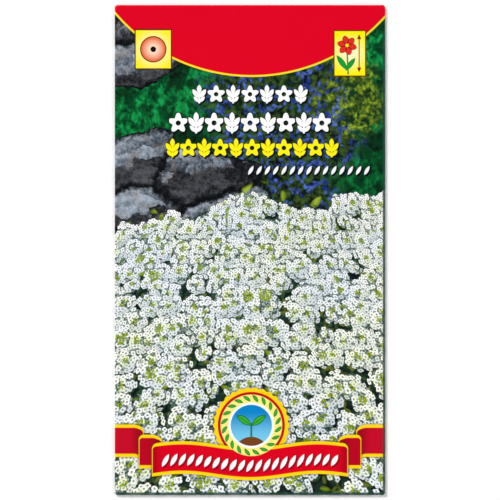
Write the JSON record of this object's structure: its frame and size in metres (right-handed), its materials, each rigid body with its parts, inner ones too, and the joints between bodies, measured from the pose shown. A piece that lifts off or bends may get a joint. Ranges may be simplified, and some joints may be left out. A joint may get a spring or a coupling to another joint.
{
  "type": "seed packet",
  "caption": "Flat sealed paper seed packet with a printed front, a glued side seam and folded end flaps, holding loose seed.",
  "frame": {"origin": "under the middle of the packet, on the surface that its two end flaps lie on", "axes": "+Z out of the printed front, +Y towards the packet's top end, +X across its width to the right of the print"},
  "size_m": [0.08, 0.145, 0.0024],
  "materials": {
    "printed_paper": "satin",
    "dried_glue": "matte",
    "seed_coat": "matte"
  },
  "bodies": {
    "root": {"folded_sheet": "printed_paper", "side_glue": "dried_glue", "bottom_glue": "dried_glue", "top_glue": "dried_glue", "seeds": "seed_coat"}
  },
  "joints": []
}
